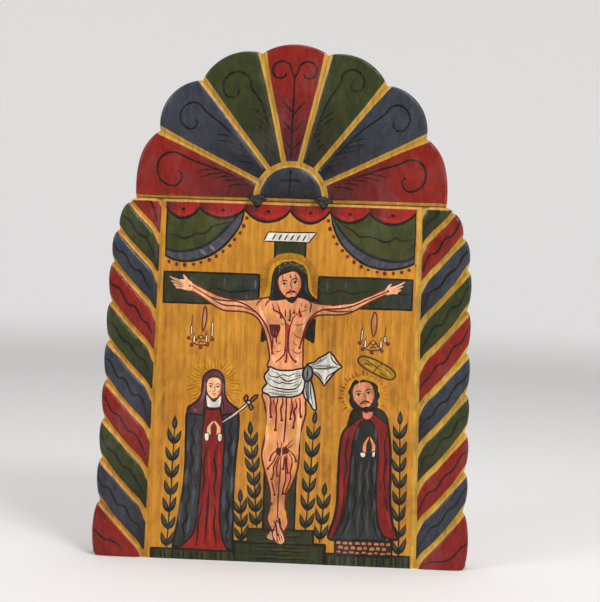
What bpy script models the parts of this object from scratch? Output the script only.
# A painted wooden retablo of two pine boards: a panel whose sides are carved as twisted columns,
# and above it a lunette carved as a shell of seven lobes. Two leather ties lace the boards
# together over the seam. Metres, +Z up, front towards -Y, origin on the ground at the middle.

import math

import bmesh
import bpy
from mathutils import Vector

# Boards
board_thickness = 0.019
panel_height = 0.2747
seam_gap = 0.0003
seam_bevel = 0.0025
seam_bevel_depth = 0.0022

# Panel: the flat field, the narrow stripe beside it and the outline of the columns, of which
# the left one was cut a little slimmer than the right one
field_recess = 0.0009
field_half_foot = 0.1042
field_half_head = 0.0995
stripe_width = 0.0038
valley_depth = 0.0027
valley_setback = 0.0006
outline_foot = (0.1403, 0.1401)
outline_head = (0.1323, 0.1354)
shoulder_height = 0.050
shoulder_inset = (0.0110, 0.0142)
foot_corner = 0.004
head_corner = 0.006
corner_shares = (0.12, 0.45, 1.0)

# Twist of the columns, with each groove's height at the outline as it was cut by hand
twist_pitch = 0.0303
twist_rise = 0.0405
twist_run = 0.0345
hook_rise = 0.0035
hook_run = 0.0080
twist_bow = 0.20
twist_lean = 0.0015
left_grooves = (0.0415, 0.0735, 0.1045, 0.1343, 0.1652, 0.1954, 0.2266, 0.2550, 0.2845)
right_grooves = (0.0435, 0.0723, 0.1025, 0.1315, 0.1628, 0.1951, 0.2258, 0.2555, 0.2838)
lobe_bulge = 0.0030
foot_bulge = 0.0045
twist_groove_half = 0.0025
twist_groove_depth = 0.0033
twist_shoulder = 0.0045
column_shares = (0.05, 0.15, 0.34, 0.58, 0.80)
lobe_shares = (0.24, 0.41, 0.59, 0.76)
bulge_fullness = 0.75
foot_fullness = 0.6
foot_bulge_start = 0.12

# Shell of the lunette: each lobe swells out past the notches, from the lowest to the top one
shell_lobes = 7
notch_radius = 0.1125
lobe_swells = (0.0068, 0.0081, 0.0061, 0.0045)
side_swell = 0.0058
disc_radius = 0.0238
ring_half = 0.0019
ring_depth = 0.0022
shell_groove_half = 0.0019
shell_groove_depth = 0.0025
shell_shoulder = 0.0050
disc_shares = (0.5, 0.82)
lobe_steps = (0.22, 0.50, 0.80)
eased_share = 0.36
ring_ease = 0.75

# Edge and groove shaping shared by both boards
rim_radius = 0.0023
rim_facet = 0.3
edge_drop = 0.0010
deepest_cut = 0.0042

# Leather ties
tie_offset = 0.0250
tie_hole_rise = 0.0034
strand_radius = 0.0013
hole_clearance = 0.0004
face_clearance = 0.0003
knot_half_width = 0.0058
knot_half_height = 0.0043
knot_half_depth = 0.0021
tail_length = 0.0046
tail_lift = 0.0020
tail_radius = 0.0012
knot_lobing = 0.10
loop_corner = 1.1

knot_proud = face_clearance + 2 * knot_half_depth
strand_proud = face_clearance + 2 * strand_radius
board_middle = (knot_proud - strand_proud) / 2
front_y = board_middle - board_thickness / 2
back_y = board_middle + board_thickness / 2
lunette_foot = panel_height + seam_gap
seam_height = panel_height + seam_gap / 2
shell_centre = lunette_foot + seam_bevel
sector = math.pi / shell_lobes


def mix(start, end, share):
    return start + (end - start) * share


def clamp(value, low=0.0, high=1.0):
    return max(low, min(high, value))


def v_cut(distance, half_width, depth, shoulder):
    # Depth of a V cut whose upper edges are eased over the width of a shoulder.
    distance = abs(distance)
    if distance < half_width:
        return mix(depth, edge_drop, distance / half_width)
    return edge_drop * (1 - clamp((distance - half_width) / shoulder)) ** 2


def round_over(distance):
    # Depth of the rounded front edge at a distance in from the outline.
    reach = clamp(rim_radius - distance, 0.0, rim_radius)
    return rim_radius - math.sqrt(rim_radius ** 2 - reach ** 2)


def join_cuts(first, second):
    # Two cuts that meet run into each other without going below the deepest cut.
    return first + second - first * second / deepest_cut


def bevel_at(distance):
    # Depth of the bevel along the seam at a distance from the board's edge.
    return seam_bevel_depth * clamp(1 - distance / seam_bevel)


# Panel

def field_half(z):
    return mix(field_half_foot, field_half_head, clamp(z / panel_height))


def grooves_of(side):
    return right_grooves if side > 0 else left_grooves


def groove_height(side, turns):
    # Height at the outline of a line of the twist. Whole numbers are the grooves' middles.
    grooves = grooves_of(side)
    lower = int(clamp(math.floor(turns), 0, len(grooves) - 2))
    return mix(grooves[lower], grooves[lower + 1], turns - lower)


def groove_climb(side, across):
    # Height of a line of the twist against its height at the outline: it hooks steeply up out of
    # the valley and then climbs, a little steeper towards the outline. The right column's
    # grooves start somewhat lower than the left one's.
    share = max(across, 0.0) / twist_run
    hook = 1 - clamp(1 - across / hook_run) ** 3
    climb = (twist_rise - hook_rise) * mix(share, share ** 2, twist_bow)
    return hook_rise * hook + climb - twist_rise - side * twist_lean * clamp(1 - share ** 2)


def twist_turns(side, level):
    # The line of the twist whose height at the outline is given.
    grooves = grooves_of(side)
    lower = 0
    while lower < len(grooves) - 2 and level > grooves[lower + 1]:
        lower += 1
    return lower + (level - grooves[lower]) / (grooves[lower + 1] - grooves[lower])


def outline_half(side, turns, z):
    shoulder_start = panel_height - shoulder_height
    climb = clamp((z - shoulder_start) / shoulder_height, 0.0, 1.1)
    column = 1 if side > 0 else 0
    half = mix(outline_foot[column], outline_head[column], clamp(z / panel_height))
    half -= shoulder_inset[column] * climb ** 2
    if turns > 0:
        share = turns - math.floor(turns)
        return half + lobe_bulge * (4 * share * (1 - share)) ** bulge_fullness
    share = clamp(z / grooves_of(side)[0], foot_bulge_start, 1.0)
    return half + foot_bulge * (4 * share * (1 - share)) ** foot_fullness


def corner_pull(z):
    # How far the rounded corners at the foot and the head draw the outline in.
    low = clamp(foot_corner - z, 0.0, foot_corner)
    high = clamp(z - panel_height + head_corner, 0.0, head_corner)
    pull = foot_corner - math.sqrt(foot_corner ** 2 - low ** 2)
    return pull + head_corner - math.sqrt(head_corner ** 2 - high ** 2)


def panel_depth(x, z):
    across = abs(x) - field_half(z)
    bevel = bevel_at(panel_height - z)
    if across <= -stripe_width:
        return field_recess + bevel
    if across < -valley_setback:
        share = (across + stripe_width) / (stripe_width - valley_setback)
        valley = mix(field_recess, valley_depth, share)
    else:
        valley = v_cut(across + valley_setback, twist_groove_half, valley_depth, twist_shoulder)
    side = math.copysign(1, x)
    level = z - groove_climb(side, across)
    turns = twist_turns(side, level)
    off_groove = level - groove_height(side, max(round(turns), 0))
    slope = math.atan2(twist_rise - hook_rise, twist_run)
    groove = v_cut(off_groove * math.cos(slope), twist_groove_half, twist_groove_depth, twist_shoulder)
    groove *= clamp(1 + across / stripe_width)
    rim = round_over(outline_half(side, turns, z) - corner_pull(z) - abs(x))
    return join_cuts(valley, groove) + rim + bevel


def place_across(side, turns, share, inset):
    # Point on a row: a share of the way out to the rim, or an inset in from the outline.
    level = groove_height(side, turns)
    across = twist_run
    for _ in range(6):
        z = level + groove_climb(side, across)
        width = outline_half(side, turns, z) - field_half(z)
        across = width - inset if share is None else share * (width - rim_radius)
    z = level + groove_climb(side, across)
    return side * (field_half(z) + across), z


def panel_row(side, turns):
    # One side of a row that follows the twist, from the field's edge to the outline.
    start = groove_height(side, turns) + groove_climb(side, 0.0)
    points = [(side * (field_half(start) - stripe_width), start)]
    points.append((side * (field_half(start) - valley_setback), start))
    for share in column_shares:
        points.append(place_across(side, turns, share, None))
    for inset in (rim_radius, rim_radius * rim_facet, 0.0):
        points.append(place_across(side, turns, None, inset))
    return points


def twist_rows():
    # Rows on each groove's middle, on both its edges and over each lobe between.
    slope = (twist_rise - hook_rise) / twist_run
    edge = twist_groove_half * math.hypot(1, slope) / twist_pitch
    lowest = max(left_grooves[0], right_grooves[0])
    highest = min(left_grooves[-1], right_grooves[-1])
    first = -math.ceil(lowest / twist_pitch) - 1
    last = len(left_grooves) + math.ceil((panel_height - highest + twist_rise + twist_lean) / twist_pitch)
    rows = []
    for turn in range(first, last):
        for share in (0.0, edge, *lobe_shares, 1 - edge):
            rows.append(turn + share)
    rows.append(last)
    return rows


def solid_from_rows(rows):
    # Closed slab whose front and back share the same rows of points.
    mesh = bmesh.new()
    front = [[mesh.verts.new((x, front_y, z)) for x, z in row] for row in rows]
    back = [[mesh.verts.new((row[end][0], back_y, row[end][1])) for end in (0, -1)] for row in rows]
    for low in range(len(rows) - 1):
        high = low + 1
        for left in range(len(rows[0]) - 1):
            right = left + 1
            mesh.faces.new((front[low][left], front[low][right], front[high][right], front[high][left]))
        mesh.faces.new((back[low][0], back[high][0], back[high][1], back[low][1]))
        mesh.faces.new((front[low][0], front[high][0], back[high][0], back[low][0]))
        mesh.faces.new((front[low][-1], back[low][1], back[high][1], front[high][-1]))
    for end in (0, -1):
        mesh.faces.new(front[end] + [back[end][1], back[end][0]])
    bmesh.ops.recalc_face_normals(mesh, faces=mesh.faces)
    return mesh


def cut_level(mesh, z, keep):
    # Cut straight across at a height, and drop what lies above or below when asked to.
    geometry = mesh.verts[:] + mesh.edges[:] + mesh.faces[:]
    result = bmesh.ops.bisect_plane(mesh, geom=geometry, dist=1e-7, plane_co=(0, 0, z),
                                    plane_no=(0, 0, 1), clear_outer=keep == "below",
                                    clear_inner=keep == "above")
    if keep != "both":
        edges = [item for item in result["geom_cut"] if isinstance(item, bmesh.types.BMEdge)]
        bmesh.ops.contextual_create(mesh, geom=edges)


def carve(mesh, depth_at):
    for vertex in mesh.verts:
        if vertex.co.y < board_middle:
            vertex.co.y = front_y + depth_at(vertex.co.x, vertex.co.z)


def make_panel():
    rows = []
    for turns in twist_rows():
        rows.append(panel_row(-1, turns)[::-1] + panel_row(1, turns))
    mesh = solid_from_rows(rows)
    cut_level(mesh, 0.0, "above")
    cut_level(mesh, panel_height, "below")
    levels = [share * foot_corner for share in corner_shares]
    levels += [panel_height - share * head_corner for share in corner_shares]
    for level in levels + [panel_height - seam_bevel]:
        cut_level(mesh, level, "both")
    for vertex in mesh.verts:
        across = abs(vertex.co.x) - field_half(vertex.co.z)
        pull = corner_pull(vertex.co.z) * clamp(across / twist_run) ** 3
        vertex.co.x -= math.copysign(pull, vertex.co.x)
    carve(mesh, panel_depth)
    return add_object("panel", mesh, (0.62, 0.36, 0.05), 0.35)


# Lunette

def lobe_reach(lobe):
    place = min(lobe, shell_lobes - 1 - lobe) % len(lobe_swells)
    return notch_radius + lobe_swells[place]


def shell_radius(angle):
    # Outline of the shell: an arc over each lobe, and nearly upright sides below the lowest ones.
    angle = clamp(angle, 0.0, math.pi)
    lobe = min(int(angle / sector), shell_lobes - 1)
    reach = lobe_reach(lobe)
    off_middle = angle - (lobe + 0.5) * sector
    outward = -off_middle if lobe == 0 else off_middle
    if lobe in (0, shell_lobes - 1) and outward > 0:
        side = notch_radius + side_swell
        return mix(reach, side, 1 - math.cos(outward / sector * math.pi))
    half_chord = notch_radius * math.sin(sector / 2)
    height = reach - notch_radius * math.cos(sector / 2)
    arc_radius = (half_chord ** 2 + height ** 2) / (2 * height)
    arc_centre = reach - arc_radius
    across = arc_centre * math.sin(off_middle)
    return arc_centre * math.cos(off_middle) + math.sqrt(arc_radius ** 2 - across ** 2)


def lunette_depth(x, z):
    rise = z - shell_centre
    radius = math.hypot(x, max(rise, 0.0))
    angle = math.atan2(max(rise, 0.0), x)
    groove = 0.0
    ring_middle = disc_radius + ring_half
    if radius > ring_middle:
        nearest = clamp(round(angle / sector), 1, shell_lobes - 1)
        off_groove = radius * math.sin(angle - nearest * sector)
        groove = v_cut(off_groove, shell_groove_half, shell_groove_depth, shell_shoulder)
    ring = v_cut(radius - ring_middle, ring_half, ring_depth, shell_shoulder)
    rim = round_over(shell_radius(angle) - radius)
    return join_cuts(groove, ring) + rim + bevel_at(z - lunette_foot)


def shell_angles(radius):
    # Angles of the grooves' middles and edges, and of points over each lobe, at one radius.
    radius = max(radius, disc_radius + 2 * ring_half)
    edge = shell_groove_half / radius
    eased = min((shell_groove_half + shell_shoulder) / radius, eased_share * sector)
    offsets = [0.0, edge, eased, mix(eased, sector / 2, 0.5), sector / 2]
    offsets += [sector - offset for offset in reversed(offsets[1:4])]
    angles = [lobe * sector + offset for lobe in range(shell_lobes) for offset in offsets]
    return angles + [math.pi]


def shell_radii(angle):
    ring = disc_radius + ring_half
    outline = shell_radius(angle)
    eased = ring + ring_half + ring_ease * shell_shoulder
    span = outline - rim_radius - eased
    radii = [share * disc_radius for share in disc_shares]
    radii += [disc_radius, ring, ring + ring_half, eased]
    radii += [eased + share * span for share in lobe_steps]
    return radii + [outline - rim_radius, outline - rim_facet * rim_radius, outline]


def make_lunette():
    mesh = bmesh.new()
    centre = mesh.verts.new((0, front_y, shell_centre))
    rays = []
    steps = len(shell_radii(0.0))
    for ray in range(len(shell_angles(1.0))):
        points = []
        for step in range(steps):
            angle = shell_angles(notch_radius)[ray]
            for _ in range(4):
                radius = shell_radii(angle)[step]
                angle = shell_angles(radius)[ray]
            place = (radius * math.cos(angle), front_y, shell_centre + radius * math.sin(angle))
            points.append(mesh.verts.new(place))
        rays.append(points)
    for near, far in zip(rays, rays[1:]):
        mesh.faces.new((centre, near[0], far[0]))
        for step in range(steps - 1):
            mesh.faces.new((near[step], near[step + 1], far[step + 1], far[step]))
    baseline = list(reversed(rays[-1])) + [centre] + rays[0]
    foot = [mesh.verts.new((vertex.co.x, front_y, lunette_foot)) for vertex in baseline]
    for place in range(len(baseline) - 1):
        mesh.faces.new((foot[place], foot[place + 1], baseline[place + 1], baseline[place]))
    outline = [foot[-1]] + [ray[-1] for ray in rays] + [foot[0]]
    back = [mesh.verts.new((vertex.co.x, back_y, vertex.co.z)) for vertex in outline]
    for place in range(len(outline) - 1):
        mesh.faces.new((outline[place], back[place], back[place + 1], outline[place + 1]))
    mesh.faces.new(foot + [back[0], back[-1]])
    mesh.faces.new(back)
    bmesh.ops.recalc_face_normals(mesh, faces=mesh.faces)
    carve(mesh, lunette_depth)
    return add_object("lunette", mesh, (0.36, 0.03, 0.03), 0.35)


# Leather ties

def tube(mesh, path, radius, sides, across, closed=False):
    # Round bar along a path that runs at right angles to one axis, closed up or with flat ends.
    side = Vector((1, 0, 0)) if across == "X" else Vector((0, 1, 0))
    count = len(path)
    rings = []
    for place in range(count):
        before = path[place - 1] if closed or place > 0 else path[place]
        after = path[(place + 1) % count] if closed or place < count - 1 else path[place]
        up = (Vector(after) - Vector(before)).normalized().cross(side)
        ring = []
        for corner in range(sides):
            turn = 2 * math.pi * (corner + 0.5) / sides
            outward = math.cos(turn) * side + math.sin(turn) * up
            ring.append(mesh.verts.new(Vector(path[place]) + radius * outward))
        rings.append(ring)
    pairs = list(zip(rings, rings[1:]))
    if closed:
        pairs.append((rings[-1], rings[0]))
    else:
        mesh.faces.new(rings[0])
        mesh.faces.new(rings[-1])
    for near, far in pairs:
        for corner in range(sides):
            beside = (corner + 1) % sides
            mesh.faces.new((near[corner], near[beside], far[beside], far[corner]))
    bmesh.ops.recalc_face_normals(mesh, faces=mesh.faces)


def loop_path(x):
    # The lace's route: up the front, through the lunette, down the back and out through the panel.
    corner = strand_radius * loop_corner
    near = front_y - face_clearance - knot_half_depth
    far = back_y + face_clearance + strand_radius
    low = seam_height - tie_hole_rise
    high = seam_height + tie_hole_rise
    path = []
    for y, z, start in ((near, high, 180), (far, high, 90), (far, low, 0), (near, low, -90)):
        middle_y = y + math.copysign(corner, board_middle - y)
        middle_z = z + math.copysign(corner, seam_height - z)
        for step in range(4):
            turn = math.radians(start - 30 * step)
            path.append((x, middle_y + corner * math.cos(turn), middle_z + corner * math.sin(turn)))
    return path


def make_tie(name, side):
    x = side * tie_offset
    mesh = bmesh.new()
    tube(mesh, loop_path(x), strand_radius, 8, "X", closed=True)
    loop = add_object(name, mesh, (0.03, 0.025, 0.02), 0.7)
    knot_mesh = bmesh.new()
    bmesh.ops.create_uvsphere(knot_mesh, u_segments=16, v_segments=8, radius=1.0)
    for vertex in knot_mesh.verts:
        turn = math.atan2(vertex.co.z, vertex.co.x)
        swell = 1 + knot_lobing * math.cos(3 * turn + side)
        vertex.co.x *= knot_half_width * swell
        vertex.co.z *= knot_half_height * swell
        vertex.co.y *= knot_half_depth
        vertex.co.x += x
        vertex.co.y += front_y - face_clearance - knot_half_depth
        vertex.co.z += seam_height
    parts = [add_guide(name + "_knot", knot_mesh)]
    for way in (-1, 1):
        tail_mesh = bmesh.new()
        start = (x + way * knot_half_width * 0.5, front_y - face_clearance - knot_half_depth, seam_height)
        end = (start[0] + way * tail_length, start[1], seam_height + tail_lift)
        tube(tail_mesh, [start, end], tail_radius, 8, "Y")
        parts.append(add_guide(name + "_tail" + ("_a" if way < 0 else "_b"), tail_mesh))
    for part in parts:
        union = loop.modifiers.new(part.name, "BOOLEAN")
        union.operation = "UNION"
        union.object = part
    return loop


def drill(board, z):
    # Holes for both ties, with room round the strand.
    reach = strand_radius + hole_clearance
    for side in (-1, 1):
        mesh = bmesh.new()
        x = side * tie_offset
        path = [(x, front_y - board_thickness, z), (x, back_y + board_thickness, z)]
        tube(mesh, path, reach, 12, "X")
        cutter = add_guide(board.name + ("_hole_left" if side < 0 else "_hole_right"), mesh)
        cut = board.modifiers.new(cutter.name, "BOOLEAN")
        cut.operation = "DIFFERENCE"
        cut.object = cutter


# Objects and materials

def add_object(name, mesh, colour, roughness):
    data = bpy.data.meshes.new(name)
    mesh.to_mesh(data)
    mesh.free()
    thing = bpy.data.objects.new(name, data)
    bpy.context.scene.collection.objects.link(thing)
    if colour is not None:
        material = bpy.data.materials.new(name)
        material.use_nodes = True
        shader = material.node_tree.nodes["Principled BSDF"]
        shader.inputs["Base Color"].default_value = (*colour, 1.0)
        shader.inputs["Roughness"].default_value = roughness
        data.materials.append(material)
    return thing


def add_guide(name, mesh):
    guide = add_object(name, mesh, None, None)
    guide.hide_render = True
    guide.display_type = "WIRE"
    return guide


def main():
    for thing in list(bpy.data.objects):
        bpy.data.objects.remove(thing, do_unlink=True)
    drill(make_panel(), seam_height - tie_hole_rise)
    drill(make_lunette(), seam_height + tie_hole_rise)
    make_tie("left_tie", -1)
    make_tie("right_tie", 1)


main()
